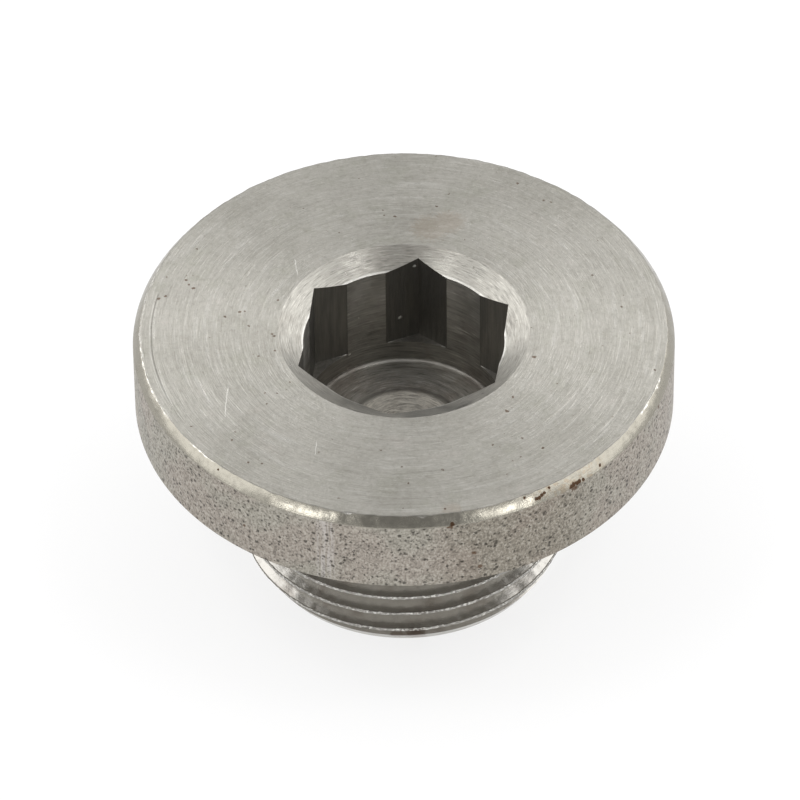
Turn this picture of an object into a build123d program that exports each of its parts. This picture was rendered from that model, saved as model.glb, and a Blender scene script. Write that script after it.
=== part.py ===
from build123d import *
import math
import os

# Collared hexagon socket screw plug, M22 x 1.5, turned in one piece from steel bar.
# All sizes are in millimetres. +Z runs along the thread's axis, out of the socket's
# mouth, and the origin is the centre of the shank's end face, on which the plug stands.

# --- head -----------------------------------------------------------------------
head_diameter = 36.0
head_height = 6.0
rim_chamfer_width = 0.5      # radial size of the chamfer round the top face
rim_chamfer_height = 0.7     # the same chamfer along the axis
under_edge_break = 0.10      # 45 degree break on the outer edge of the sealing face

# --- threaded shank ---------------------------------------------------------------
# The shank is left at the thread's outside diameter, as a blank ready for the thread.
thread_diameter = 22.0
thread_pitch = 1.5
shank_length = 13.0
lead_chamfer_angle = 31.0    # between the lead-in chamfer and the axis
root_allowance = 0.06        # how far the end face stays inside the thread's root

# --- thread relief under the head -------------------------------------------------
relief_width = 2.0           # straight part of the groove, from the sealing face
relief_allowance = 0.23      # how far the groove goes below the thread's root
relief_flank_angle = 30.0    # between the groove's run-out flank and the axis
relief_fillet = 0.6

# --- hexagon socket ---------------------------------------------------------------
hex_key_size = 13.0          # across flats of the key
hex_key_clearance = 0.1      # added across flats so that the key goes in
broach_depth = 7.4           # from the top face to the ledges where the broach stopped
chip_space = 1.7             # round bore left below the broached corners
pilot_oversize = 0.3         # drilled hole over the socket's across-flats size
countersink_margin = 0.8     # from the hexagon's corners out to the countersink's rim
countersink_angle = 120.0    # full angle of the countersink
floor_fillet = 0.3           # between the bore's wall and its floor
dimple_diameter = 7.2        # shallow cone left in the middle of the floor
dimple_angle = 150.0         # full angle of that cone

# --- worked out from the sizes above ------------------------------------------------
overall_length = shank_length + head_height
head_radius = head_diameter / 2
thread_radius = thread_diameter / 2
thread_depth = 0.61343 * thread_pitch
thread_root_radius = thread_radius - thread_depth

end_radius = thread_root_radius - root_allowance
lead_chamfer_height = (thread_radius - end_radius) / math.tan(math.radians(lead_chamfer_angle))

relief_radius = thread_root_radius - relief_allowance
relief_flank_height = (thread_radius - relief_radius) / math.tan(math.radians(relief_flank_angle))
relief_floor_z = shank_length - relief_width
thread_end_z = relief_floor_z - relief_flank_height

hex_across_flats = hex_key_size + hex_key_clearance
hex_corner_radius = hex_across_flats / math.sqrt(3)
pilot_radius = (hex_across_flats + pilot_oversize) / 2
countersink_radius = hex_corner_radius + countersink_margin
bore_depth = broach_depth + chip_space
bore_floor_z = overall_length - bore_depth
dimple_radius = dimple_diameter / 2
dimple_depth = dimple_radius / math.tan(math.radians(dimple_angle / 2))


with BuildPart() as plug_body:
    # The outside is one turned profile: end face, lead-in chamfer, thread blank,
    # relief groove, sealing face, head and rim chamfer.
    with BuildSketch(Plane.XZ) as turned_profile:
        with BuildLine():
            Polyline(
                (0, 0),
                (end_radius, 0),
                (thread_radius, lead_chamfer_height),
                (thread_radius, thread_end_z),
                (relief_radius, relief_floor_z),
                (relief_radius, shank_length),
                (head_radius - under_edge_break, shank_length),
                (head_radius, shank_length + under_edge_break),
                (head_radius, overall_length - rim_chamfer_height),
                (head_radius - rim_chamfer_width, overall_length),
                (0, overall_length),
                close=True,
            )
        make_face()
        groove_corners = [
            turned_profile.vertices().sort_by_distance((relief_radius, height))[0]
            for height in (relief_floor_z, shank_length)
        ]
        fillet(groove_corners, relief_fillet)
    revolve(axis=Axis.Z)

    # The socket starts as a drilled and countersunk blind hole.
    with Locations(plug_body.faces().sort_by(Axis.Z)[-1]):
        CounterSinkHole(
            radius=pilot_radius,
            counter_sink_radius=countersink_radius,
            depth=bore_depth,
            counter_sink_angle=countersink_angle,
        )
    bore_floor = plug_body.faces().filter_by(Plane.XY).sort_by(Axis.Z).filter_by_position(
        Axis.Z, bore_floor_z - floor_fillet, bore_floor_z + floor_fillet
    )[0]
    fillet(bore_floor.edges(), floor_fillet)

    # A shallow cone is left in the middle of the floor by the drill's point.
    with Locations((0, 0, bore_floor_z - dimple_depth / 2)):
        Cone(0, dimple_radius, dimple_depth, mode=Mode.SUBTRACT)

    # The broach cuts the hexagon's corners out of the wall and leaves a ledge under each.
    with BuildSketch(Plane.XY.offset(overall_length)):
        RegularPolygon(radius=hex_corner_radius, side_count=6, rotation=90)
    extrude(amount=-broach_depth, mode=Mode.SUBTRACT)

plug_body.part.label = "plug_body"

os.makedirs("parts", exist_ok=True)
export_step(plug_body.part, "parts/plug_body.step")
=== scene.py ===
import math

import bmesh
import bpy
from bpy.props import FloatProperty, FloatVectorProperty, IntProperty, PointerProperty
from mathutils import Matrix, Vector
from mathutils import noise as mathutils_noise


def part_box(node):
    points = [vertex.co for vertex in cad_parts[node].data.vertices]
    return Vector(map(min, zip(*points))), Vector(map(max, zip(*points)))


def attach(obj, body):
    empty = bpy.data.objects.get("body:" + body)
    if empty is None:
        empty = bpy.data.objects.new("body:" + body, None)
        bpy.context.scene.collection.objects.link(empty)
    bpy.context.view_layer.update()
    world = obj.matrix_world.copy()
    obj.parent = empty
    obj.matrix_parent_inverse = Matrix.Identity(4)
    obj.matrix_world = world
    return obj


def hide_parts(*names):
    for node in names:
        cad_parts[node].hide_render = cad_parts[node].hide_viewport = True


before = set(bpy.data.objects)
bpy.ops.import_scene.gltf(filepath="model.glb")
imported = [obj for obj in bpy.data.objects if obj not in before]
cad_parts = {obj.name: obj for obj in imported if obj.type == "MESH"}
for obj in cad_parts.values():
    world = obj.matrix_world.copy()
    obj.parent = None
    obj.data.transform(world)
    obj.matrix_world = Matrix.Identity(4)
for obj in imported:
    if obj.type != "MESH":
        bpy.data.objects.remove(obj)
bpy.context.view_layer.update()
PLUG_LOW, PLUG_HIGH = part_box("plug_body")
MM = 0.001

bl_info = {
    "name": "Collared socket plug",
    "version": (1, 0, 0),
    "blender": (4, 5, 0),
    "location": "3D View > Sidebar > Plug",
    "description": "Builds a turned screw plug with a hexagon socket, its finishes and a plain studio",
    "category": "Add Mesh",
}

# Material slots of the plug, in the order in which its faces point to them.
FINISHES = ("faced_top", "rim_chamfer", "collar_skin", "sealing_face", "thread", "end_face",
            "countersink", "bored_wall", "broached_wall", "bore_floor")

# Distances below which points count as one, and as lying on a ring or a plane.
MERGE = 1e-7
TOUCH = 2e-6

# Proportions of a 60 degree thread, each times its pitch.
THREAD_DEPTH = 0.61343
ROOT_RADIUS = 0.1443
GROOVE_HALF_WIDTH = 0.4375

# Marks on the steel, in millimetres and degrees. An arc is its start, its end and its softness.
TOP = PLUG_HIGH.z / MM
RING_RADIUS = 16.75
RING_LIP_RADIUS = 16.88
RING_ARCS = ((-190.0, -152.0, 8.0), (175.0, 190.0, 1.0))
NICKED_RADIUS = 17.49
NICKED_ARCS = (
    (-180.0, -146.0, 3.0), (-135.0, -128.0, 1.0), (-95.5, -93.5, 1.0), (-79.5, -78.0, 1.0),
    (-66.0, -63.5, 1.0), (-20.0, -8.0, 1.0), (166.0, 180.5, 1.0))
FRETTED_ARC = (-54.0, -36.0, 4.0)
BROWNED_ARC = (-74.0, -42.0, 7.0)
SCUFFED_ARC = (-100.9, -97.4, 0.5)

# Scratches: x, y, direction, length and width. Blots: radius, angle, height, size and raggedness.
TOP_SCRATCHES = (
    (-7.92, 5.16, 105.0, 1.9, 0.045), (-10.72, -8.19, 95.0, 3.2, 0.05), (-4.27, -11.8, 97.0, 1.5, 0.035))
TOP_STAINS = ((10.13, 87.3, TOP, 1.4, 0.4), (10.98, 81.6, TOP, 1.2, 0.4), (17.3, -72.3, TOP, 0.8, 0.3))
TOP_RUST = (
    (16.65, 176.5, TOP, 0.13, 0.6), (16.25, 175.3, TOP, 0.11, 0.6), (16.85, 177.6, TOP, 0.08, 0.7),
    (15.35, 168.6, TOP, 0.11, 0.6), (15.05, 169.9, TOP, 0.10, 0.6), (15.5, 167.0, TOP, 0.06, 0.6),
    (14.65, 170.8, TOP, 0.13, 0.6), (15.1, 166.4, TOP, 0.05, 0.6), (16.7, 169.0, TOP, 0.07, 0.6),
    (11.05, 177.9, TOP, 0.13, 0.7), (10.75, 177.2, TOP, 0.08, 0.7), (9.01, -9.7, TOP, 0.14, 0.6),
    (9.65, -34.6, TOP, 0.12, 0.5), (10.3, -41.6, TOP, 0.15, 0.6), (15.28, -129.9, TOP, 0.10, 0.5),
    (10.9, -139.5, TOP, 0.08, 0.5), (10.25, -137.0, TOP, 0.08, 0.5), (11.4, -134.8, TOP, 0.09, 0.5),
    (8.9, 168.0, TOP, 0.10, 0.5), (8.75, -170.6, TOP, 0.10, 0.5), (8.75, -160.0, TOP, 0.09, 0.5))
CHAMFER_RUST = (
    (17.79, -53.6, 18.59, 0.17, 0.4), (17.77, -53.0, 18.62, 0.16, 0.4), (17.73, -52.3, 18.68, 0.16, 0.4),
    (17.68, -51.6, 18.75, 0.12, 0.4), (17.58, -50.2, 18.88, 0.11, 0.5), (17.59, -56.1, 18.87, 0.11, 0.5),
    (17.93, -45.2, 18.38, 0.2, 0.4), (17.92, -44.5, 18.41, 0.22, 0.4), (17.91, -43.7, 18.42, 0.2, 0.4),
    (17.9, -42.9, 18.44, 0.18, 0.4), (17.92, -42.0, 18.41, 0.14, 0.5), (17.9, -72.5, 18.35, 0.22, 0.6),
    (17.7, -125.8, 18.8, 0.1, 0.5), (17.82, -36.8, 18.56, 0.14, 0.5))
SKIN_RUST = (
    (18.0, -68.0, 15.52, 0.18, 0.5), (18.0, -66.7, 14.21, 0.2, 0.6), (18.0, -14.0, 18.2, 0.2, 0.6),
    (18.0, -73.0, 18.25, 0.22, 0.6), (18.0, -44.5, 18.2, 0.26, 0.6), (18.0, -118.0, 15.4, 0.12, 0.5))
SOCKET_CHIPS = ((7.45, 92.0, 17.9, 0.13, 0.5), (7.1, 100.0, 13.6, 0.19, 0.4))
THREAD_STAINS = ((10.4, -86.0, 0.7, 0.5, 0.5), (10.6, -79.0, 0.9, 0.9, 0.5))

# Colours of what lies on the steel, of steel laid bare, and of painted light.
OLIVE_FILM = (0.33, 0.33, 0.27)
PALE_FILM = (0.55, 0.51, 0.47)
BROWN_FILM = (0.25, 0.235, 0.19)
DARK_MARK = (0.2, 0.19, 0.165)
BRIGHT_MARK = (0.72, 0.71, 0.67)
DARK_GRAIN = (0.21, 0.20, 0.17)
BRIGHT_GRAIN = (0.68, 0.66, 0.62)
BROWN_GRAIN = (0.24, 0.225, 0.18)
# A dark line along the deeper tool mark.
RING_DARK_LINE = (0.13, 0.125, 0.11)
RUSTY_STAIN = (0.34, 0.25, 0.17)
BARE_SCRATCH = (0.85, 0.84, 0.79)
BARE_NICK = (0.9, 0.88, 0.83)
BARE_CREST = (0.75, 0.74, 0.70)
WORN_DARK = (0.19, 0.175, 0.145)
WORN_LIP = (0.8, 0.79, 0.75)
FRETTED_BROWN = (0.25, 0.18, 0.11)
SKIN_BROWN = (0.17, 0.13, 0.09)
PALE_MOTTLE = (0.6, 0.57, 0.5)
PALE_SKIN_GRAIN = (0.64, 0.61, 0.55)
SCUFF_GREY = (0.55, 0.52, 0.5)
# Painted light on the bored wall near the socket's mouth.
BORE_PAINTED_LIGHT = (0.72, 0.70, 0.65)
BRIGHT_CHIP = (0.95, 0.93, 0.87)
BRIGHT_DASH = (0.9, 0.88, 0.82)
BRIGHT_SPECK = (0.95, 0.93, 0.88)
WHITE_CHIP = (1.0, 1.0, 0.97)
PALE_FLOOR = (0.8, 0.76, 0.68)
# A dark ring round the floor's middle.
FLOOR_DARK_RING = (0.08, 0.075, 0.065)

# The stage, in metres. Small lamps, one on each side: name, angle off the camera, angle above the
# horizon, width, height and watts.
SMALL_LAMPS = (
    ("front_card", 39.0, 24.0, 0.15, 0.14, 0.30),
    ("high_lamp", 66.0, 67.0, 0.12, 0.09, 0.20))
SMALL_LAMP_DISTANCE = 0.6
FLOOR_HALF_WIDTH = 3.0
SOFTBOX_SIZE = (1.1, 0.6)
SOFTBOX_PLACE = (0.5, 0.14, 0.34)
LAMP_AIM = (0, 0, 0.01)


class PlugSizes(bpy.types.PropertyGroup):
    """Sizes of the plug. The overall sizes come from the part's box in model.glb."""

    head_diameter: FloatProperty(
        name="Head diameter", description="Outside diameter of the collar head",
        default=PLUG_HIGH.x - PLUG_LOW.x, unit="LENGTH")
    overall_length: FloatProperty(
        name="Overall length", description="From the end face to the top face",
        default=PLUG_HIGH.z - PLUG_LOW.z, unit="LENGTH")
    shank_length: FloatProperty(
        name="Shank length", description="From the end face to the sealing face",
        default=13.0 * MM, unit="LENGTH")
    rim_chamfer_width: FloatProperty(
        name="Rim chamfer width", description="Radial size of the chamfer round the top face",
        default=0.5 * MM, unit="LENGTH")
    rim_chamfer_height: FloatProperty(
        name="Rim chamfer height", description="The same chamfer along the axis",
        default=0.7 * MM, unit="LENGTH")
    under_edge_break: FloatProperty(
        name="Under edge break", description="Break on the outer edge of the sealing face",
        default=0.1 * MM, unit="LENGTH")
    edge_round: FloatProperty(
        name="Edge round", description="Width of the worn round on the outer edges",
        default=0.07 * MM, unit="LENGTH")
    tear: FloatProperty(
        name="Tear", description="How deep the crests and the rim are torn",
        default=0.06 * MM, min=0.0, unit="LENGTH")
    thread_diameter: FloatProperty(
        name="Thread diameter", description="Outside diameter of the thread",
        default=22.0 * MM, unit="LENGTH")
    thread_pitch: FloatProperty(
        name="Thread pitch", description="Distance from crest to crest",
        default=1.5 * MM, unit="LENGTH")
    thread_phase: FloatProperty(
        name="Thread phase", description="Height of the lowest crest straight towards -Y",
        default=1.74 * MM, unit="LENGTH")
    lead_chamfer_angle: FloatProperty(
        name="Lead chamfer angle", description="Between the lead-in chamfer and the axis",
        default=math.radians(31.0), subtype="ANGLE")
    root_allowance: FloatProperty(
        name="Root allowance", description="How far the end face stays inside the thread's root",
        default=0.06 * MM, unit="LENGTH")
    relief_width: FloatProperty(
        name="Relief width", description="Straight part of the groove under the head",
        default=2.0 * MM, unit="LENGTH")
    relief_allowance: FloatProperty(
        name="Relief allowance", description="How far the groove goes below the thread's root",
        default=0.23 * MM, unit="LENGTH")
    relief_flank_angle: FloatProperty(
        name="Relief flank angle", description="Between the groove's run-out flank and the axis",
        default=math.radians(30.0), subtype="ANGLE")
    relief_fillet: FloatProperty(
        name="Relief fillet", description="Radius in the two corners of the groove",
        default=0.6 * MM, unit="LENGTH")
    hex_across_flats: FloatProperty(
        name="Hexagon across flats", description="Across flats of the broached socket",
        default=13.1 * MM, unit="LENGTH")
    broach_depth: FloatProperty(
        name="Broach depth", description="From the top face to the ledges under the corners",
        default=7.4 * MM, unit="LENGTH")
    chip_space: FloatProperty(
        name="Chip space", description="Round bore left below the broached corners",
        default=1.7 * MM, unit="LENGTH")
    pilot_oversize: FloatProperty(
        name="Pilot oversize", description="Drilled hole over the hexagon's across-flats size",
        default=0.3 * MM, unit="LENGTH")
    countersink_margin: FloatProperty(
        name="Countersink margin", description="From the hexagon's corners to the countersink's rim",
        default=0.8 * MM, unit="LENGTH")
    countersink_angle: FloatProperty(
        name="Countersink angle", description="Full angle of the countersink",
        default=math.radians(120.0), subtype="ANGLE")
    floor_fillet: FloatProperty(
        name="Floor fillet", description="Radius between the bore's wall and its floor",
        default=0.3 * MM, unit="LENGTH")
    dimple_diameter: FloatProperty(
        name="Dimple diameter", description="Shallow cone in the middle of the floor",
        default=7.2 * MM, unit="LENGTH")
    dimple_angle: FloatProperty(
        name="Dimple angle", description="Full angle of that cone",
        default=math.radians(150.0), subtype="ANGLE")
    steps: IntProperty(
        name="Steps", description="Faces round the axis, a multiple of twelve",
        default=360, min=12, step=12)


class PlugFinish(bpy.types.PropertyGroup):
    """Colours of the steel and of what lies on it."""

    turned_steel: FloatVectorProperty(
        name="Turned steel", description="Clean steel from the lathe tool",
        default=(0.44, 0.425, 0.385), size=3, subtype="COLOR", min=0.0, max=1.0)
    skin_steel: FloatVectorProperty(
        name="Skin steel", description="Rolled and pitted skin on the collar's side",
        default=(0.34, 0.315, 0.265), size=3, subtype="COLOR", min=0.0, max=1.0)
    socket_steel: FloatVectorProperty(
        name="Socket steel", description="Oily steel inside the socket",
        default=(0.42, 0.405, 0.37), size=3, subtype="COLOR", min=0.0, max=1.0)
    thread_steel: FloatVectorProperty(
        name="Thread steel", description="Cut steel of the thread",
        default=(0.44, 0.425, 0.395), size=3, subtype="COLOR", min=0.0, max=1.0)
    rust: FloatVectorProperty(
        name="Rust", description="Rust in the specks and stains",
        default=(0.10, 0.055, 0.03), size=3, subtype="COLOR", min=0.0, max=1.0)
    pit: FloatVectorProperty(
        name="Pit", description="Dirt in the pits of the skin",
        default=(0.045, 0.040, 0.033), size=3, subtype="COLOR", min=0.0, max=1.0)


class PlugStage(bpy.types.PropertyGroup):
    """The studio and the camera."""

    floor_colour: FloatVectorProperty(
        name="Floor colour", description="Colour of the pale floor",
        default=(0.92, 0.92, 0.92), size=3, subtype="COLOR", min=0.0, max=1.0)
    floor_glow: FloatProperty(
        name="Floor glow", description="Share of plain white in the floor as it is seen",
        default=0.7, min=0.0, max=1.0)
    azimuth: FloatProperty(
        name="Azimuth", description="Turn of the camera about +Z from the view along +Y",
        default=math.radians(7.75), subtype="ANGLE")
    elevation: FloatProperty(
        name="Elevation", description="Height of the camera above the horizon",
        default=math.radians(44.0), subtype="ANGLE")
    roll: FloatProperty(
        name="Roll", description="Turn of the camera about its own axis",
        default=math.radians(0.533), subtype="ANGLE")
    distance: FloatProperty(
        name="Distance", description="From the camera to the point that it looks at",
        default=492.7 * MM, unit="LENGTH")
    aim_height: FloatProperty(
        name="Aim height", description="Height of the point that the camera looks at",
        default=12.55 * MM, unit="LENGTH")
    aim_side: FloatProperty(
        name="Aim side", description="How far that point lies to the camera's right",
        default=-0.29 * MM, unit="LENGTH")
    focal_length: FloatProperty(
        name="Focal length", description="Focal length on a sensor 36 mm wide",
        default=331.1, unit="CAMERA")
    overhead_level: FloatProperty(
        name="Overhead level", description="Light from straight above, where white is 1",
        default=0.68, min=0.0)
    camera_side_level: FloatProperty(
        name="Camera side level", description="Light from behind the camera, where white is 1",
        default=0.4, min=0.0)
    side_light: FloatProperty(
        name="Side light", description="Power of the soft light on each side",
        default=2.55, min=0.0, unit="POWER")


# --- mesh -----------------------------------------------------------------------


def plug_heights(s):
    """Radii and heights that several features of the plug share."""
    thread_radius = s.thread_diameter / 2
    root_radius = thread_radius - THREAD_DEPTH * s.thread_pitch
    relief_radius = root_radius - s.relief_allowance
    flank = (thread_radius - relief_radius) / math.tan(s.relief_flank_angle)
    end_radius = root_radius - s.root_allowance
    corner_radius = s.hex_across_flats / math.sqrt(3)
    countersink_radius = corner_radius + s.countersink_margin
    pilot_radius = (s.hex_across_flats + s.pilot_oversize) / 2
    half_angle = s.countersink_angle / 2
    floor = s.overall_length - s.broach_depth - s.chip_space
    return {
        "thread": thread_radius,
        "root": root_radius,
        "relief": relief_radius,
        "relief_floor": s.shank_length - s.relief_width,
        "thread_end": s.shank_length - s.relief_width - flank,
        "end": end_radius,
        "lead_top": (thread_radius - end_radius) / math.tan(s.lead_chamfer_angle),
        "head": s.head_diameter / 2,
        "countersink": countersink_radius,
        "pilot": pilot_radius,
        "mouth": s.overall_length - (countersink_radius - pilot_radius) / math.tan(half_angle),
        "ledge": s.overall_length - s.broach_depth,
        "floor": floor,
        "dimple": s.dimple_diameter / 2,
        "dimple_floor": floor - s.dimple_diameter / 2 / math.tan(s.dimple_angle / 2),
    }


def spin_outline(bm, outline, steps):
    """Spins an open outline of (radius, height) points about Z into a closed form."""
    corners = [bm.verts.new((radius, 0.0, height)) for radius, height in outline]
    edges = [bm.edges.new(pair) for pair in zip(corners, corners[1:])]
    bmesh.ops.spin(bm, geom=corners + edges, cent=(0, 0, 0), axis=(0, 0, 1), dvec=(0, 0, 0),
                   angle=math.tau, steps=steps, use_merge=True, use_normal_flip=False,
                   use_duplicate=False)
    bmesh.ops.remove_doubles(bm, verts=bm.verts, dist=MERGE)
    bmesh.ops.recalc_face_normals(bm, faces=bm.faces)


def ring_edges(bm, radius, height):
    """The edges of the ring at that radius and height."""
    def on_ring(vert):
        return abs(vert.co.xy.length - radius) < TOUCH and abs(vert.co.z - height) < TOUCH
    return [edge for edge in bm.edges if all(on_ring(vert) for vert in edge.verts)]


def round_ring(bm, radius, height, width, segments):
    """Rounds the edge that runs round the plug at that radius and height."""
    bmesh.ops.bevel(bm, geom=ring_edges(bm, radius, height), offset=width, offset_type="OFFSET",
                    affect="EDGES", segments=segments, profile=0.5, material=-1)


def hexagon_radius(direction, across_flats):
    """How far the hexagon's side lies from the axis in a direction, with corners on the Y axis."""
    from_flat = (math.atan2(direction.y, direction.x) + math.pi / 6) % (math.pi / 3) - math.pi / 6
    return across_flats / 2 / math.cos(from_flat)


def push_out_corners(bm, s, h):
    """Moves the drilled wall out to the hexagon wherever the broach cuts past it."""
    slope = 1 / math.tan(s.countersink_angle / 2)
    for vert in bm.verts:
        on_wall = abs(vert.co.xy.length - h["pilot"]) < TOUCH
        if not on_wall or vert.co.z < h["ledge"] - TOUCH:
            continue
        reach = max(h["pilot"], hexagon_radius(vert.co.xy, s.hex_across_flats))
        if abs(vert.co.z - h["mouth"]) < TOUCH:
            vert.co.z += (reach - h["pilot"]) * slope
        vert.co.xy = vert.co.xy.normalized() * reach


def plug_blank(s, h):
    """The plug before its thread is cut: one spun outline with the hexagon pushed out of its bore."""
    ledge_drop = 0.03 * MM
    outline = [
        (0.0, 0.0),
        (h["end"], 0.0),
        (h["thread"], h["lead_top"]),
        (h["thread"], h["thread_end"]),
        (h["relief"], h["relief_floor"]),
        (h["relief"], s.shank_length),
        (h["head"] - s.under_edge_break, s.shank_length),
        (h["head"], s.shank_length + s.under_edge_break),
        (h["head"], s.overall_length - s.rim_chamfer_height),
        (h["head"] - s.rim_chamfer_width, s.overall_length),
        (h["countersink"], s.overall_length),
        (h["pilot"], h["mouth"]),
        (h["pilot"], h["ledge"]),
        (h["pilot"], h["ledge"] - ledge_drop),
        (h["pilot"], h["floor"]),
        (h["dimple"], h["floor"]),
        (0.0, h["dimple_floor"]),
    ]
    bm = bmesh.new()
    spin_outline(bm, outline, s.steps)
    round_ring(bm, h["relief"], s.shank_length, s.relief_fillet, 5)
    round_ring(bm, h["relief"], h["relief_floor"], s.relief_fillet, 4)
    round_ring(bm, h["pilot"], h["floor"], s.floor_fillet, 5)
    push_out_corners(bm, s, h)
    round_ring(bm, h["head"] - s.rim_chamfer_width, s.overall_length, s.edge_round, 2)
    round_ring(bm, h["head"], s.overall_length - s.rim_chamfer_height, s.edge_round, 2)
    bmesh.ops.recalc_face_normals(bm, faces=bm.faces)
    return bm


def thread_cutter(s, h):
    """A V-shaped coil that runs from below the end face up into the relief groove."""
    clear = 0.08 * MM
    root_radius = ROOT_RADIUS * s.thread_pitch
    half_width = GROOVE_HALF_WIDTH * s.thread_pitch + clear * math.tan(math.pi / 6)
    root_centre = h["root"] + root_radius
    section = [(h["thread"] + clear, -half_width)]
    for angle in (-60, -30, 0, 30, 60):
        turn = math.radians(angle)
        section.append((root_centre - root_radius * math.cos(turn), root_radius * math.sin(turn)))
    section.append((h["thread"] + clear, half_width))

    # A groove lies half a pitch above each crest. The coil starts a whole turn below the end.
    start = s.thread_phase - 2.5 * s.thread_pitch
    turns = math.ceil((s.shank_length - 0.8 * s.thread_pitch - start) / s.thread_pitch) - 1
    bm = bmesh.new()
    corners = [bm.verts.new((radius, 0.0, start + height)) for radius, height in section]
    edges = [bm.edges.new(pair) for pair in zip(corners, corners[1:] + corners[:1])]
    bmesh.ops.spin(bm, geom=corners + edges, cent=(0, 0, 0), axis=(0, 0, 1),
                   dvec=(0, 0, s.thread_pitch / s.steps), angle=math.tau, steps=s.steps,
                   use_merge=False, use_normal_flip=False, use_duplicate=False)
    one_turn = list(bm.verts) + list(bm.edges) + list(bm.faces)
    for turn in range(1, turns):
        copy = bmesh.ops.duplicate(bm, geom=one_turn)["geom"]
        bmesh.ops.translate(bm, verts=[part for part in copy if isinstance(part, bmesh.types.BMVert)],
                            vec=(0, 0, turn * s.thread_pitch))
    bmesh.ops.remove_doubles(bm, verts=bm.verts, dist=MERGE)
    bmesh.ops.holes_fill(bm, edges=[edge for edge in bm.edges if edge.is_boundary], sides=0)
    bmesh.ops.rotate(bm, verts=bm.verts, cent=(0, 0, 0), matrix=Matrix.Rotation(-math.pi / 2, 3, "Z"))
    bmesh.ops.recalc_face_normals(bm, faces=bm.faces)
    return bm


def tear_edges(thing, s, h):
    """Roughens the crests of the thread and the inner edge of the rim chamfer.

    The factors on `spot` set how closely the tears follow each other.
    """
    rim = h["head"] - s.rim_chamfer_width
    rim_reach, rim_depth = 0.12 * MM, 0.1 * MM
    for vert in thing.data.vertices:
        radius = vert.co.xy.length
        spot = Vector(vert.co) / MM
        if abs(radius - h["thread"]) < TOUCH and vert.co.z < h["thread_end"] + TOUCH:
            depth = max(0.0, mathutils_noise.noise(spot * 2.6) + 0.25) * s.tear
            vert.co.z += mathutils_noise.noise(spot * 2.1 + Vector((7, 3, 1))) * s.tear * 0.9
            vert.co.xy *= 1 - depth / radius
        elif abs(radius - rim) < rim_reach and vert.co.z > s.overall_length - rim_depth:
            shift = mathutils_noise.noise(spot * 1.7) * s.tear * 1.2
            vert.co.xy *= 1 - shift / radius


def object_from(bm, name):
    """Puts a bmesh into a new object of the scene."""
    mesh = bpy.data.meshes.new(name)
    bm.to_mesh(mesh)
    bm.free()
    thing = bpy.data.objects.new(name, mesh)
    bpy.context.scene.collection.objects.link(thing)
    return thing


def cut_away(target, cutter):
    """Subtracts the cutter from the target, keeps the result as its mesh and drops the cutter."""
    cut = target.modifiers.new("cut", "BOOLEAN")
    cut.operation = "DIFFERENCE"
    cut.solver = "MANIFOLD"
    cut.object = cutter
    graph = bpy.context.evaluated_depsgraph_get()
    mesh = bpy.data.meshes.new_from_object(target.evaluated_get(graph))
    old = target.data
    target.modifiers.clear()
    target.data = mesh
    mesh.materials.clear()
    bpy.data.meshes.remove(old)
    bpy.data.objects.remove(cutter)


def finish_of(face, s, h):
    """The name of the finish that a face has, from where it lies and how it points."""
    run_out = 3 * MM
    groove_slack, bore_slack, ledge_slack = 0.2 * MM, 1 * MM, 0.04 * MM
    unrounded = 0.97
    middle = face.calc_center_median()
    radius = middle.xy.length
    level = abs(face.normal.z) > 0.3
    if middle.z < TOUCH:
        return "end_face"
    if middle.z < h["thread_end"] + run_out and radius > h["relief"] - groove_slack:
        return "thread"
    if middle.z < s.shank_length + TOUCH and radius > h["pilot"] + bore_slack:
        return "sealing_face"
    if radius > h["head"] - s.rim_chamfer_width * unrounded:
        on_side = middle.z < s.overall_length - s.rim_chamfer_height * unrounded
        return "collar_skin" if on_side else "rim_chamfer"
    if middle.z > s.overall_length - TOUCH:
        return "faced_top"
    if middle.z > h["mouth"] and level:
        return "countersink"
    if middle.z < h["floor"] + s.floor_fillet and level:
        return "bore_floor"
    on_hexagon = middle.z > h["ledge"] - ledge_slack and radius > h["pilot"] + TOUCH
    return "broached_wall" if on_hexagon else "bored_wall"


def finish_mesh(thing, s, h):
    """Gives each face its finish, and keeps the sharp edges sharp."""
    bm = bmesh.new()
    bm.from_mesh(thing.data)
    bmesh.ops.remove_doubles(bm, verts=bm.verts, dist=MERGE)
    bmesh.ops.recalc_face_normals(bm, faces=bm.faces)
    for face in bm.faces:
        face.smooth = True
        face.material_index = FINISHES.index(finish_of(face, s, h))
    socket = {FINISHES.index(name) for name in ("bored_wall", "broached_wall")}
    thread = {FINISHES.index("thread")}
    flat = {FINISHES.index(name) for name in ("faced_top", "sealing_face", "end_face")}
    for edge in bm.edges:
        slots = {face.material_index for face in edge.link_faces}
        flat_ends_here = len(slots) > 1 and slots & flat
        limit = 0 if flat_ends_here else 4 if slots <= socket else 8 if slots <= thread else 24
        edge.smooth = edge.calc_face_angle(0.0) < math.radians(limit)
    bm.to_mesh(thing.data)
    bm.free()


# --- node helpers ------------------------------------------------------------------


def new_group(name, inputs, outputs):
    """A shader node group. Inputs are (name, default), where None stands for a vector."""
    tree = bpy.data.node_groups.new(name, "ShaderNodeTree")
    for label, default in inputs:
        kind = "NodeSocketVector" if default is None else "NodeSocketFloat"
        socket = tree.interface.new_socket(label, in_out="INPUT", socket_type=kind)
        if default is not None:
            socket.default_value = default
    for label in outputs:
        tree.interface.new_socket(label, in_out="OUTPUT", socket_type="NodeSocketFloat")
    return tree, tree.nodes.new("NodeGroupInput").outputs, tree.nodes.new("NodeGroupOutput").inputs


def use_group(tree, group, **values):
    """Places a node group and feeds its inputs, whose names are written with underscores."""
    node = tree.nodes.new("ShaderNodeGroup")
    node.node_tree = group
    for label, value in values.items():
        feed(tree, node.inputs[label.replace("_", " ").capitalize()], value)
    return node.outputs


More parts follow.
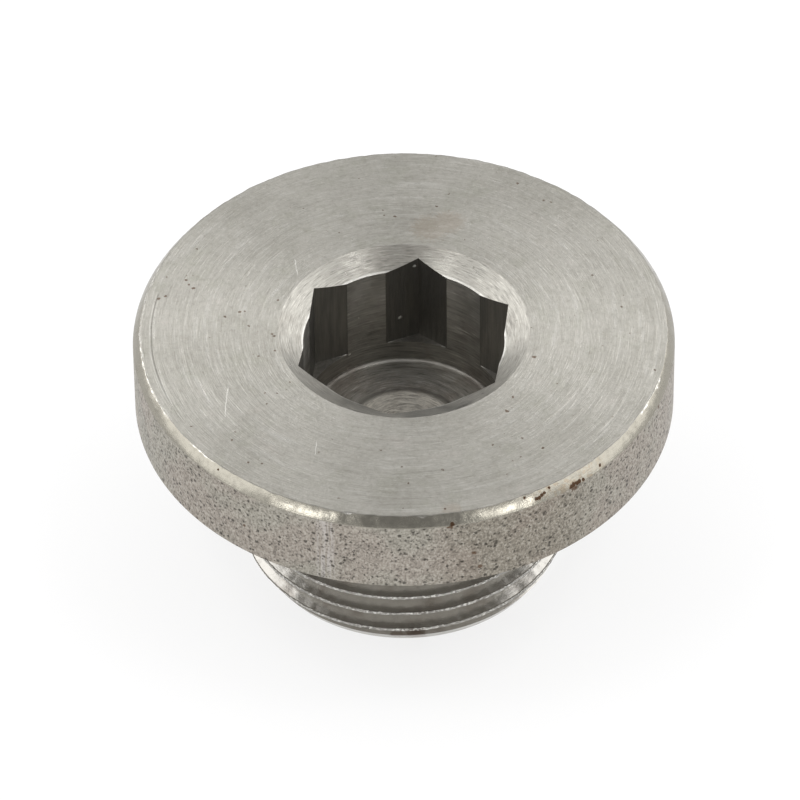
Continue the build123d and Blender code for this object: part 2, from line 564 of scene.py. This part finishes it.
def feed(tree, socket, value):
    """Links an output to a socket, or sets a plain value on it."""
    if isinstance(value, bpy.types.NodeSocket):
        tree.links.new(value, socket)
    elif hasattr(value, "__len__") and len(value) == 3 and socket.type == "RGBA":
        socket.default_value = (*value, 1.0)
    else:
        socket.default_value = value


def calc(tree, operation, *values):
    """A Math node."""
    node = tree.nodes.new("ShaderNodeMath")
    node.operation = operation
    for socket, value in zip(node.inputs, values):
        feed(tree, socket, value)
    return node.outputs[0]


def chain(tree, operation, values):
    """A row of Math nodes of one kind through all the values."""
    total = values[0]
    for value in values[1:]:
        total = calc(tree, operation, total, value)
    return total


def times(tree, *values):
    """The product of the values."""
    return chain(tree, "MULTIPLY", values)


def highest(tree, *values):
    """The largest of the values, which joins masks."""
    return chain(tree, "MAXIMUM", values)


def apart(tree, first, second):
    """How far two values lie from each other."""
    return calc(tree, "ABSOLUTE", calc(tree, "SUBTRACT", first, second))


def ramp(tree, value, low, high, out_low=0.0, out_high=1.0, smooth=True):
    """A clamped Map Range node."""
    node = tree.nodes.new("ShaderNodeMapRange")
    node.interpolation_type = "SMOOTHSTEP" if smooth else "LINEAR"
    for socket, number in zip(node.inputs, (value, low, high, out_low, out_high)):
        feed(tree, socket, number)
    return node.outputs[0]


def noise(tree, vector, scale, detail=3.0, roughness=0.55):
    """A Noise node, as its value between 0 and 1."""
    node = tree.nodes.new("ShaderNodeTexNoise")
    for label, value in (("Vector", vector), ("Scale", scale), ("Detail", detail), ("Roughness", roughness)):
        feed(tree, node.inputs[label], value)
    return node.outputs["Fac"]


def vector_math(tree, operation, *values):
    """A Vector Math node."""
    node = tree.nodes.new("ShaderNodeVectorMath")
    node.operation = operation
    for socket, value in zip(node.inputs, values):
        feed(tree, socket, value)
    return node.outputs


def separate(tree, vector):
    """The X, Y and Z of a vector."""
    node = tree.nodes.new("ShaderNodeSeparateXYZ")
    feed(tree, node.inputs[0], vector)
    return node.outputs


def blend_colour(tree, factor, first, second):
    """A Mix node for colours."""
    node = tree.nodes.new("ShaderNodeMix")
    node.data_type = "RGBA"
    for socket, value in ((0, factor), (6, first), (7, second)):
        feed(tree, node.inputs[socket], value)
    return node.outputs[2]


def stained(tree, base, *layers):
    """Lays colours over a base: each by its share, where its value goes from low to high."""
    for value, low, high, share, colour in layers:
        base = blend_colour(tree, ramp(tree, value, low, high, 0.0, share), base, colour)
    return base


def masked(tree, base, *layers):
    """Lays colours over a base: each by its share, where its mask is 1."""
    for mask, share, colour in layers:
        base = blend_colour(tree, times(tree, mask, share), base, colour)
    return base


def shaded(colour, *shares):
    """A colour times one share, or times one share for each channel."""
    return tuple(channel * share for channel, share in zip(colour, shares * 3))


def millimetres(tree):
    """Object coordinates in millimetres."""
    place = tree.nodes.new("ShaderNodeMapping")
    tree.links.new(tree.nodes.new("ShaderNodeTexCoord").outputs["Object"], place.inputs["Vector"])
    place.inputs["Scale"].default_value = (1 / MM, 1 / MM, 1 / MM)
    return place.outputs[0]


# --- shared effects -----------------------------------------------------------------


def lathe_marks_group():
    """Tool marks: fine grooves round the axis that come and go along their length."""
    tree, given, out = new_group(
        "Lathe marks", [("Position", None), ("Spacing", 0.1), ("Break up", 1.0), ("Seed", 0.0)],
        ["Groove", "Radius"])
    x, y, z = separate(tree, given["Position"])
    radius = calc(tree, "SQRT", calc(tree, "ADD", times(tree, x, x), times(tree, y, y)))
    across = calc(tree, "DIVIDE", calc(tree, "ADD", radius, z), given["Spacing"])
    along = tree.nodes.new("ShaderNodeCombineXYZ")
    feed(tree, along.inputs[0], calc(tree, "ADD", across, given["Seed"]))
    for socket, side in ((1, x), (2, y)):
        around = calc(tree, "DIVIDE", side, calc(tree, "MAXIMUM", radius, 0.01))
        feed(tree, along.inputs[socket], times(tree, around, given["Break up"]))
    feed(tree, out["Groove"], noise(tree, along.outputs[0], 1.0, roughness=0.7))
    feed(tree, out["Radius"], radius)
    return tree


def arc_group():
    """A mask that is 1 between two directions round the axis, in radians from +X."""
    tree, given, out = new_group(
        "Arc", [("Position", None), ("Start", 0.0), ("End", 1.0), ("Softness", 0.01)], ["Mask"])
    x, y, _ = separate(tree, given["Position"])
    angle = calc(tree, "ARCTAN2", y, x)
    outside = times(tree, given["Softness"], -1.0)
    into = ramp(tree, calc(tree, "SUBTRACT", angle, given["Start"]), outside, given["Softness"])
    out_of = ramp(tree, calc(tree, "SUBTRACT", given["End"], angle), outside, given["Softness"])
    feed(tree, out["Mask"], times(tree, into, out_of))
    return tree


def blot_group():
    """One blot with a ragged edge at a given place."""
    tree, given, out = new_group(
        "Blot", [("Position", None), ("Place", None), ("Size", 0.2), ("Ragged", 0.5)], ["Mask"])
    gap = vector_math(tree, "DISTANCE", given["Position"], given["Place"])["Value"]
    rough_edge = calc(tree, "SUBTRACT", noise(tree, given["Position"], 5.0), 0.5)
    rough_edge = times(tree, rough_edge, times(tree, given["Ragged"], 4.0))
    reach = calc(tree, "ADD", calc(tree, "DIVIDE", gap, given["Size"]), rough_edge)
    feed(tree, out["Mask"], ramp(tree, reach, 1.1, 0.6))
    return tree


def specks_group():
    """Small specks of different sizes, scattered over a share of the cells of a surface."""
    tree, given, out = new_group(
        "Specks", [("Position", None), ("Cell", 1.0), ("Size", 0.2), ("Share", 0.3)], ["Mask"])
    ragged = tree.nodes.new("ShaderNodeTexNoise")
    feed(tree, ragged.inputs["Vector"], given["Position"])
    ragged.inputs["Scale"].default_value = 6.0
    bent = vector_math(tree, "MULTIPLY_ADD", ragged.outputs["Color"], (0.22, 0.22, 0.22), given["Position"])
    cells = tree.nodes.new("ShaderNodeTexVoronoi")
    feed(tree, cells.inputs["Vector"], bent[0])
    feed(tree, cells.inputs["Scale"], calc(tree, "DIVIDE", 1.0, given["Cell"]))
    pick = tree.nodes.new("ShaderNodeSeparateColor")
    tree.links.new(cells.outputs["Color"], pick.inputs[0])
    chosen = calc(tree, "LESS_THAN", pick.outputs[0], given["Share"])
    own_size = times(tree, given["Size"], ramp(tree, pick.outputs[1], 0.0, 1.0, 0.35, 1.0))
    distance = times(tree, cells.outputs["Distance"], given["Cell"])
    feed(tree, out["Mask"], times(tree, chosen, ramp(tree, distance, own_size, times(tree, own_size, 0.45))))
    return tree


def nicks_group(effects):
    """A mask of the bright nicks along the inner edge of the rim chamfer."""
    tree, given, out = new_group("Nicks", [("Position", None), ("Radius", NICKED_RADIUS)], ["Mask"])
    place = given["Position"]
    wander = times(tree, calc(tree, "SUBTRACT", noise(tree, place, 1.1, detail=2.0), 0.5), 0.3)
    line = ramp(tree, apart(tree, calc(tree, "ADD", given["Radius"], wander), NICKED_RADIUS), 0.09, 0.03)
    where = highest(tree, *(arc(tree, effects, place, *nicked) for nicked in NICKED_ARCS))
    broken = ramp(tree, noise(tree, place, 2.6, roughness=0.7), 0.40, 0.62, 0.2, 1.0)
    feed(tree, out["Mask"], times(tree, line, where, broken))
    return tree


def steel(name, anisotropy=0.0):
    """A bare metal material, whose colour and roughness are still to be fed."""
    material = bpy.data.materials.new(name)
    material.use_nodes = True
    tree = material.node_tree
    shader = tree.nodes["Principled BSDF"]
    shader.inputs["Metallic"].default_value = 1.0
    shader.inputs["Anisotropic"].default_value = anisotropy
    shader.inputs["Anisotropic Rotation"].default_value = 0.25
    if anisotropy:
        tangent = tree.nodes.new("ShaderNodeTangent")
        tangent.direction_type = "RADIAL"
        tangent.axis = "Z"
        tree.links.new(tangent.outputs[0], shader.inputs["Tangent"])
    return material, tree, shader


def finish_steel(tree, shader, base, rough, *relief):
    """Feeds colour, roughness and bump. The relief is a sum of (value, height in millimetres)."""
    feed(tree, shader.inputs["Base Color"], base)
    feed(tree, shader.inputs["Roughness"], rough)
    height = 0.0
    for value, share in relief:
        height = calc(tree, "MULTIPLY_ADD", value, share, height)
    node = tree.nodes.new("ShaderNodeBump")
    node.inputs["Strength"].default_value = 1.0
    node.inputs["Distance"].default_value = MM
    feed(tree, node.inputs["Height"], height)
    tree.links.new(node.outputs[0], shader.inputs["Normal"])


def at(radius, angle, height):
    """A place in millimetres from its radius, its angle in degrees and its height."""
    turn = math.radians(angle)
    return Vector((radius * math.cos(turn), radius * math.sin(turn), height))


def arc(tree, effects, place, start, end, softness):
    """The mask of an arc between two angles in degrees."""
    return use_group(tree, effects["arc"], position=place, start=math.radians(start),
                     end=math.radians(end), softness=math.radians(softness))["Mask"]


def specks(tree, effects, place, cell, size, share):
    """The mask of strewn specks."""
    return use_group(tree, effects["specks"], position=place, cell=cell, size=size, share=share)["Mask"]


def blots(tree, effects, place, listed):
    """The joined mask of blots, each given as radius, angle, height, size and raggedness."""
    return highest(tree, *(
        use_group(tree, effects["blot"], position=place, place=at(radius, angle, height),
                  size=size, ragged=ragged)["Mask"]
        for radius, angle, height, size, ragged in listed))


def scratch(tree, place, x, y, angle, length, width):
    """The mask of one slightly bowed scratch on a level face."""
    turn = math.radians(-angle)
    own = tree.nodes.new("ShaderNodeMapping")
    feed(tree, own.inputs["Vector"], place)
    own.inputs["Rotation"].default_value = (0, 0, turn)
    own.inputs["Location"].default_value = -(Matrix.Rotation(turn, 3, "Z") @ Vector((x, y, 0)))
    along, aside, _ = separate(tree, own.outputs[0])
    bow = times(tree, calc(tree, "SUBTRACT", noise(tree, place, 0.9), 0.5), 0.5)
    aside = calc(tree, "ABSOLUTE", calc(tree, "ADD", aside, bow))
    along = calc(tree, "ABSOLUTE", along)
    return times(tree, ramp(tree, aside, width, width * 0.3), ramp(tree, along, length / 2, length / 3))


def upright_streaks(tree, place, across, up, detail, roughness):
    """Noise that is drawn out along the plug's axis."""
    stretched = vector_math(tree, "MULTIPLY", place, (across, across, up))[0]
    return noise(tree, stretched, 1.0, detail=detail, roughness=roughness)


# --- finishes -------------------------------------------------------------------------


def faced_top(colours, effects):
    """The top face: satin, with concentric tool marks, scratches, rust specks and faint stains."""
    material, tree, shader = steel("faced_top", anisotropy=0.72)
    place = millimetres(tree)
    fine = use_group(tree, effects["marks"], position=place, spacing=0.09, break_up=9.0, seed=3.0)
    coarse = use_group(tree, effects["marks"], position=place, spacing=0.40, break_up=2.6, seed=40.0)
    grain = noise(tree, place, 3.4, roughness=0.75)
    cloud = noise(tree, place, 0.16, detail=4.0, roughness=0.6)
    blotch = noise(tree, place, 0.55, detail=4.0, roughness=0.65)
    base = stained(
        tree, tuple(colours.turned_steel),
        (cloud, 0.35, 0.7, 1.0, shaded(colours.turned_steel, 0.92)),
        (blotch, 0.5, 0.72, 0.32, OLIVE_FILM),
        (blotch, 0.42, 0.28, 0.25, PALE_FILM),
        (cloud, 0.45, 0.65, 0.12, BROWN_FILM),
        (fine["Groove"], 0.52, 0.70, 0.234, DARK_MARK),
        (fine["Groove"], 0.46, 0.30, 0.26, BRIGHT_MARK),
        (coarse["Groove"], 0.56, 0.70, 0.2184, DARK_MARK),
        (coarse["Groove"], 0.44, 0.32, 0.1976, BRIGHT_MARK),
        (grain, 0.52, 0.68, 0.2184, DARK_GRAIN),
        (grain, 0.48, 0.34, 0.13, BRIGHT_GRAIN),
        (noise(tree, place, 1.5, roughness=0.7), 0.54, 0.68, 0.1456, BROWN_GRAIN))

    # One deeper tool mark near the rim, darker along its line, with a bright lip outside it.
    ringed = highest(tree, *(arc(tree, effects, place, *ends) for ends in RING_ARCS))
    ring = times(tree, ramp(tree, apart(tree, fine["Radius"], RING_RADIUS), 0.10, 0.02), ringed)
    lip = times(tree, ramp(tree, apart(tree, fine["Radius"], RING_LIP_RADIUS), 0.06, 0.02), ringed,
                ramp(tree, grain, 0.4, 0.55, 0.3, 1.0))
    strewn = times(tree, specks(tree, effects, place, 0.7, 0.13, 0.5), ramp(tree, blotch, 0.48, 0.54))
    nicks = use_group(tree, effects["nicks"], position=place, radius=fine["Radius"])["Mask"]
    scratched = highest(tree, *(scratch(tree, place, *one) for one in TOP_SCRATCHES))
    scratched = times(tree, scratched, ramp(tree, grain, 0.35, 0.6, 0.35, 1.0))
    base = masked(
        tree, base,
        (ring, 0.55, RING_DARK_LINE),
        (blots(tree, effects, place, TOP_STAINS), 0.22, RUSTY_STAIN),
        (highest(tree, blots(tree, effects, place, TOP_RUST), strewn), 0.75, colours.rust),
        (highest(tree, scratched, times(tree, lip, 0.3), nicks), 0.7, BARE_SCRATCH))
    rough = calc(tree, "SUBTRACT", ramp(tree, coarse["Groove"], 0.3, 0.7, 0.34, 0.46),
                 ramp(tree, fine["Groove"], 0.5, 0.3, 0.0, 0.10))
    rough = calc(tree, "MULTIPLY_ADD", strewn, 0.35, rough)
    finish_steel(tree, shader, base, rough, (fine["Groove"], 0.022), (coarse["Groove"], 0.09),
                 (grain, 0.03), (ring, -0.02), (nicks, 0.04))
    return material


def rim_chamfer(colours, effects):
    """The chamfer round the top face: smoothly turned, with worn patches, rust and nicks."""
    material, tree, shader = steel("rim_chamfer")
    place = millimetres(tree)
    fine = use_group(tree, effects["marks"], position=place, spacing=0.02, break_up=5.0, seed=9.0)
    worn = noise(tree, place, 2.2, detail=4.0)
    fretted = times(tree, ramp(tree, noise(tree, place, 3.0, roughness=0.7), 0.46, 0.6),
                    arc(tree, effects, place, *FRETTED_ARC))
    rusted = blots(tree, effects, place, CHAMFER_RUST)
    nicks = use_group(tree, effects["nicks"], position=place, radius=fine["Radius"])["Mask"]
    base = shaded(colours.turned_steel, 0.70, 0.685, 0.645)
    base = stained(tree, base, (worn, 0.5, 0.68, 0.3, WORN_DARK))
    base = masked(tree, base, (fretted, 0.4, FRETTED_BROWN))
    base = stained(tree, base, (fine["Groove"], 0.55, 0.75, 0.35, colours.pit))
    base = masked(tree, base, (rusted, 0.97, shaded(colours.rust, 0.62)), (nicks, 0.75, BARE_NICK))
    rough = calc(tree, "MULTIPLY_ADD", rusted, 0.3, ramp(tree, worn, 0.35, 0.65, 0.16, 0.28))
    finish_steel(tree, shader, base, rough, (fine["Groove"], 0.006), (worn, 0.018))
    return material


def collar_skin(colours, effects):
    """The collar's side: a rough skin that the tool never touched, finely pitted and dirty."""
    material, tree, shader = steel("collar_skin")
    place = millimetres(tree)
    drawn = vector_math(tree, "MULTIPLY", place, (1.0, 1.0, 0.8))[0]
    grain = noise(tree, drawn, 6.5, detail=1.5, roughness=0.6)
    mottle = noise(tree, place, 2.3, roughness=0.65)
    streaks = upright_streaks(tree, place, 6.0, 0.35, 2.0, 0.55)
    scuff = times(tree, arc(tree, effects, place, *SCUFFED_ARC), ramp(tree, streaks, 0.35, 0.6))
    pits = highest(tree, times(tree, specks(tree, effects, place, 0.3, 0.17, 0.5), 0.75),
                   times(tree, specks(tree, effects, place, 0.2, 0.08, 0.6), 0.7))
    base = stained(tree, shaded(colours.skin_steel, 1.03, 1.05, 1.08),
                   (noise(tree, place, 0.22, detail=2.0), 0.4, 0.6, 1.0,
                    shaded(colours.skin_steel, 1.06, 1.03, 1.07)))
    base = masked(tree, base, (arc(tree, effects, place, *BROWNED_ARC), 0.34, SKIN_BROWN))
    base = stained(
        tree, base,
        (mottle, 0.5, 0.66, 0.22, colours.pit),
        (mottle, 0.48, 0.34, 0.2, PALE_MOTTLE),
        (grain, 0.54, 0.66, 0.30, PALE_SKIN_GRAIN))
    base = masked(tree, base, (scuff, 0.55, SCUFF_GREY))
    base = stained(tree, base, (grain, 0.46, 0.36, 0.34, colours.pit))
    base = masked(tree, base, (pits, 1.0, shaded(colours.pit, 0.6)),
                  (blots(tree, effects, place, SKIN_RUST), 0.8, colours.rust))
    finish_steel(tree, shader, base, ramp(tree, grain, 0.3, 0.7, 0.55, 0.38),
                 (grain, 0.035), (mottle, 0.07), (scuff, 0.015))
    return material


def bore_details(tree, effects, place, fine, base):
    """Bright chips and dashes on the bored wall, and painted light that makes it paler towards the mouth."""
    # Painted light: the wall is made lighter towards the mouth, where more light falls into the socket.
    painted_mouth_light = times(tree, ramp(tree, separate(tree, place)["Z"], 12.5, 16.5, 0.05, 0.32),
                  ramp(tree, noise(tree, place, 0.7, detail=2.0), 0.4, 0.6, 0.4, 1.0))
    base = masked(tree, base, (painted_mouth_light, 1.0, BORE_PAINTED_LIGHT),
                  (specks(tree, effects, place, 0.75, 0.11, 0.35), 0.8, BRIGHT_CHIP))
    return stained(tree, base, (fine["Groove"], 0.33, 0.24, 0.6, BRIGHT_DASH))


def countersink_details(tree, effects, place, fine, base):
    """The countersink's worn lip, where it meets the bore."""
    broken = ramp(tree, noise(tree, place, 1.8), 0.35, 0.55, 0.4, 1.0)
    return masked(tree, base, (times(tree, ramp(tree, fine["Radius"], 6.87, 6.77), broken), 0.5, WORN_LIP))


def floor_details(tree, effects, place, fine, base):
    """The floor's paler middle, with a dark ring round it."""
    middle = times(tree, ramp(tree, fine["Radius"], 3.68, 3.45),
                   ramp(tree, fine["Groove"], 0.42, 0.6, 0.62, 0.30))
    base = stained(tree, base, (apart(tree, fine["Radius"], 3.85), 0.22, 0.05, 0.5, FLOOR_DARK_RING))
    return masked(tree, base, (middle, 1.0, PALE_FLOOR))


def turned(name, colour, colours, effects, spacing, roughness, depth, dirt=0.3, break_up=1.5,
           contrast=0.35, details=None):
    """A turned surface in general. `details` lays on the base what only one of them has."""
    material, tree, shader = steel(name, anisotropy=0.4)
    place = millimetres(tree)
    fine = use_group(tree, effects["marks"], position=place, spacing=spacing, break_up=break_up,
                     seed=len(name) * 7.0)
    cloud = noise(tree, place, 0.45, detail=4.0, roughness=0.6)
    base = stained(
        tree, colour,
        (cloud, 0.4, 0.7, dirt, colours.rust),
        (fine["Groove"], 0.5, 0.72, contrast, shaded(colour, 0.3)),
        (fine["Groove"], 0.48, 0.3, contrast, tuple(min(0.9, channel) for channel in shaded(colour, 1.7))))
    base = masked(tree, base, (specks(tree, effects, place, 1.2, 0.16, 0.3), 0.6, colours.pit))
    if details:
        base = details(tree, effects, place, fine, base)
    finish_steel(tree, shader, base, ramp(tree, cloud, 0.3, 0.7, roughness - 0.05, roughness + 0.08),
                 (fine["Groove"], depth))
    return material


def broached_wall(colours, effects):
    """The hexagon's walls: painted dark as shade in the socket, with upright streaks left by the broach."""
    material, tree, shader = steel("broached_wall")
    place = millimetres(tree)
    streak = upright_streaks(tree, place, 3.0, 0.22, 4.0, 0.65)
    # Painted shade: the walls are made much darker than the socket's steel, for the shade in the socket.
    base = stained(tree, shaded(colours.socket_steel, 0.38),
                   (streak, 0.3, 0.7, 1.0, shaded(colours.socket_steel, 0.52)))
    base = masked(tree, base, (specks(tree, effects, place, 0.9, 0.1, 0.25), 0.9, BRIGHT_SPECK),
                  (blots(tree, effects, place, SOCKET_CHIPS), 1.0, WHITE_CHIP))
    finish_steel(tree, shader, base, ramp(tree, streak, 0.3, 0.7, 0.5, 0.36), (streak, 0.03))
    return material


def thread_finish(colours, effects):
    """The cut thread: smooth flanks, torn crests and a little dirt."""
    material, tree, shader = steel("thread")
    place = millimetres(tree)
    rings = use_group(tree, effects["marks"], position=place, spacing=0.08, break_up=9.0, seed=1.0)
    crest = ramp(tree, rings["Radius"], 10.90, 10.96)
    torn = noise(tree, place, 5.0, roughness=0.7)
    cross = noise(tree, place, 1.8, detail=4.0, roughness=0.7)
    patchy = times(tree, ramp(tree, torn, 0.45, 0.6), ramp(tree, cross, 0.4, 0.6, 0.35, 1.0), crest)
    base = stained(
        tree, colours.thread_steel,
        (noise(tree, place, 0.5, detail=4.0), 0.5, 0.7, 0.3, colours.rust),
        (cross, 0.5, 0.75, 0.25, colours.pit))
    base = masked(tree, base, (crest, 0.35, colours.pit), (patchy, 1.0, BARE_CREST),
                  (blots(tree, effects, place, THREAD_STAINS), 0.55, colours.rust))
    finish_steel(tree, shader, base, ramp(tree, cross, 0.3, 0.7, 0.15, 0.27),
                 (times(tree, torn, crest), 0.10), (rings["Groove"], 0.003), (cross, 0.012))
    return material


def plug_materials(colours):
    """The plug's materials, in the order of FINISHES."""
    effects = {"marks": lathe_marks_group(), "specks": specks_group(), "arc": arc_group(),
               "blot": blot_group()}
    effects["nicks"] = nicks_group(effects)
    bright, socket = colours.turned_steel, colours.socket_steel
    made = {
        "faced_top": faced_top(colours, effects),
        "rim_chamfer": rim_chamfer(colours, effects),
        "collar_skin": collar_skin(colours, effects),
        # Painted shade: the sealing face is made dark to stand in for the shadow under the head, which the
        # thread's flanks reflect.
        "sealing_face": turned("sealing_face", shaded(bright, 0.45), colours, effects, 0.25, 0.36, 0.006),
        "thread": thread_finish(colours, effects),
        "end_face": turned("end_face", tuple(bright), colours, effects, 0.3, 0.38, 0.008),
        "countersink": turned("countersink", shaded(bright, 0.76), colours, effects, 0.12, 0.32, 0.014,
                              dirt=0.1, break_up=8.0, contrast=0.6, details=countersink_details),
        "bored_wall": turned("bored_wall", shaded(socket, 0.76), colours, effects, 0.14, 0.4, 0.02,
                             break_up=3.5, contrast=0.7, details=bore_details),
        "broached_wall": broached_wall(colours, effects),
        "bore_floor": turned("bore_floor", shaded(socket, 0.62), colours, effects, 0.17, 0.4, 0.03,
                             break_up=3.5, contrast=0.6, details=floor_details),
    }
    return [made[name] for name in FINISHES]


# --- operators -------------------------------------------------------------------------


class PLUG_OT_body(bpy.types.Operator):
    """Model the plug: spun blank, hexagon socket and cut thread, with its finishes"""

    bl_idname = "plug.body"
    bl_label = "Plug"

    def execute(self, context):
        s = context.scene.plug_sizes
        h = plug_heights(s)
        plug = object_from(plug_blank(s, h), "plug")
        cut_away(plug, object_from(thread_cutter(s, h), "thread_cutter"))
        for material in plug_materials(context.scene.plug_finish):
            plug.data.materials.append(material)
        finish_mesh(plug, s, h)
        tear_edges(plug, s, h)
        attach(plug, "root")
        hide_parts("plug_body")
        return {"FINISHED"}


def area_light(name, size_x, size_y, place, watts):
    """A rectangular area light that looks at LAMP_AIM."""
    lamp = bpy.data.lights.new(name, "AREA")
    lamp.shape = "RECTANGLE"
    lamp.size = size_x
    lamp.size_y = size_y
    lamp.energy = watts
    thing = bpy.data.objects.new(name, lamp)
    thing.location = place
    thing.rotation_euler = (Vector(LAMP_AIM) - place).to_track_quat("-Z", "Y").to_euler()
    bpy.context.scene.collection.objects.link(thing)


def studio_lamps(stage):
    """A soft box on each side, and the small lamps, all turned with the camera."""
    turn = Matrix.Rotation(stage.azimuth, 4, "Z")
    aside, ahead, up = SOFTBOX_PLACE
    for name, side in (("left_softbox", -1), ("right_softbox", 1)):
        area_light(name, *SOFTBOX_SIZE, turn @ Vector((side * aside, ahead, up)), stage.side_light)
    for name, off_camera, height, size_x, size_y, watts in SMALL_LAMPS:
        lift = Matrix.Rotation(math.radians(-height), 4, "X")
        for side in (-1, 1):
            swing = Matrix.Rotation(math.radians(side * off_camera), 4, "Z")
            place = turn @ swing @ lift @ Vector((0, -SMALL_LAMP_DISTANCE, 0))
            area_light(name, size_x, size_y, place, watts)


def studio_world(stage):
    """Soft light from all sides: white round the plug, dimmer overhead and behind the camera."""
    world = bpy.data.worlds.new("studio")
    world.use_nodes = True
    tree = world.node_tree
    # `up` is 0 at the horizon and 1 overhead. `ahead` is -1 straight behind the camera.
    faced = tree.nodes.new("ShaderNodeMapping")
    faced.inputs["Rotation"].default_value = (0, 0, -stage.azimuth)
    tree.links.new(tree.nodes.new("ShaderNodeTexCoord").outputs["Generated"], faced.inputs["Vector"])
    _, forward, up = separate(tree, faced.outputs[0])
    flat_length = calc(tree, "SQRT", calc(tree, "SUBTRACT", 1.0, calc(tree, "POWER", up, 2.0)))
    ahead = calc(tree, "DIVIDE", forward, calc(tree, "MAXIMUM", flat_length, 0.01))
    around = ramp(tree, up, 0.55, 0.95, 1.0, stage.overhead_level)
    behind_camera = times(tree, ramp(tree, ahead, -0.88, -0.95), ramp(tree, up, 0.12, 0.25))
    level = ramp(tree, behind_camera, 0.0, 1.0, around, stage.camera_side_level, smooth=False)
    background = tree.nodes["Background"]
    background.inputs["Color"].default_value = (1, 1, 1, 1)
    feed(tree, background.inputs["Strength"], level)
    return world


def floor_material(stage):
    """A pale matt floor that takes the plug's shadow and is seen a step lighter than it is lit."""
    material = bpy.data.materials.new("pale_floor")
    material.use_nodes = True
    tree = material.node_tree
    shader = tree.nodes["Principled BSDF"]
    shader.inputs["Base Color"].default_value = (*stage.floor_colour, 1.0)
    shader.inputs["Roughness"].default_value = 0.95
    shader.inputs["Specular IOR Level"].default_value = 0.0
    path = tree.nodes.new("ShaderNodeLightPath")
    seen = highest(tree, *(path.outputs[f"Is {kind} Ray"] for kind in ("Camera", "Glossy", "Transmission")))
    glow = tree.nodes.new("ShaderNodeEmission")
    mix = tree.nodes.new("ShaderNodeMixShader")
    feed(tree, mix.inputs[0], times(tree, seen, stage.floor_glow))
    tree.links.new(shader.outputs[0], mix.inputs[1])
    tree.links.new(glow.outputs[0], mix.inputs[2])
    tree.links.new(mix.outputs[0], tree.nodes["Material Output"].inputs["Surface"])
    return material


def studio_camera(stage):
    """The camera, aimed at a point on the plug's axis."""
    data = bpy.data.cameras.new("camera")
    data.sensor_width = 36.0
    data.lens = stage.focal_length
    data.clip_start = 0.01
    camera = bpy.data.objects.new("camera", data)
    turn = Matrix.Rotation(stage.azimuth, 4, "Z") @ Matrix.Rotation(math.pi / 2 - stage.elevation, 4, "X")
    aim = Matrix.Translation((0, 0, stage.aim_height)) @ turn @ Matrix.Translation((stage.aim_side, 0, 0))
    back = Matrix.Rotation(-stage.roll, 4, "Z") @ Matrix.Translation((0, 0, stage.distance))
    camera.matrix_world = aim @ back
    bpy.context.scene.collection.objects.link(camera)
    bpy.context.scene.camera = camera


class PLUG_OT_stage(bpy.types.Operator):
    """Set up the pale floor, the soft studio light and the camera"""

    bl_idname = "plug.stage"
    bl_label = "Stage"

    def execute(self, context):
        stage = context.scene.plug_stage
        bm = bmesh.new()
        bmesh.ops.create_grid(bm, x_segments=1, y_segments=1, size=FLOOR_HALF_WIDTH)
        floor = object_from(bm, "floor")
        floor.data.materials.append(floor_material(stage))
        studio_lamps(stage)
        context.scene.world = studio_world(stage)
        context.scene.view_settings.view_transform = "Standard"
        studio_camera(stage)
        return {"FINISHED"}


class PLUG_PT_panel(bpy.types.Panel):
    """Lists the plug's operators"""

    bl_idname = "PLUG_PT_panel"
    bl_label = "Socket plug"
    bl_space_type = "VIEW_3D"
    bl_region_type = "UI"
    bl_category = "Plug"

    def draw(self, context):
        for operator in OPERATORS:
            self.layout.operator(operator.bl_idname)


OPERATORS = (PLUG_OT_body, PLUG_OT_stage)
CLASSES = (PlugSizes, PlugFinish, PlugStage, *OPERATORS, PLUG_PT_panel)


def register():
    for cls in CLASSES:
        bpy.utils.register_class(cls)
    bpy.types.Scene.plug_sizes = PointerProperty(type=PlugSizes)
    bpy.types.Scene.plug_finish = PointerProperty(type=PlugFinish)
    bpy.types.Scene.plug_stage = PointerProperty(type=PlugStage)


def unregister():
    del bpy.types.Scene.plug_stage
    del bpy.types.Scene.plug_finish
    del bpy.types.Scene.plug_sizes
    for cls in reversed(CLASSES):
        bpy.utils.unregister_class(cls)


def main():
    register()
    bpy.ops.plug.body()
    bpy.ops.plug.stage()


if __name__ == "__main__":
    main()
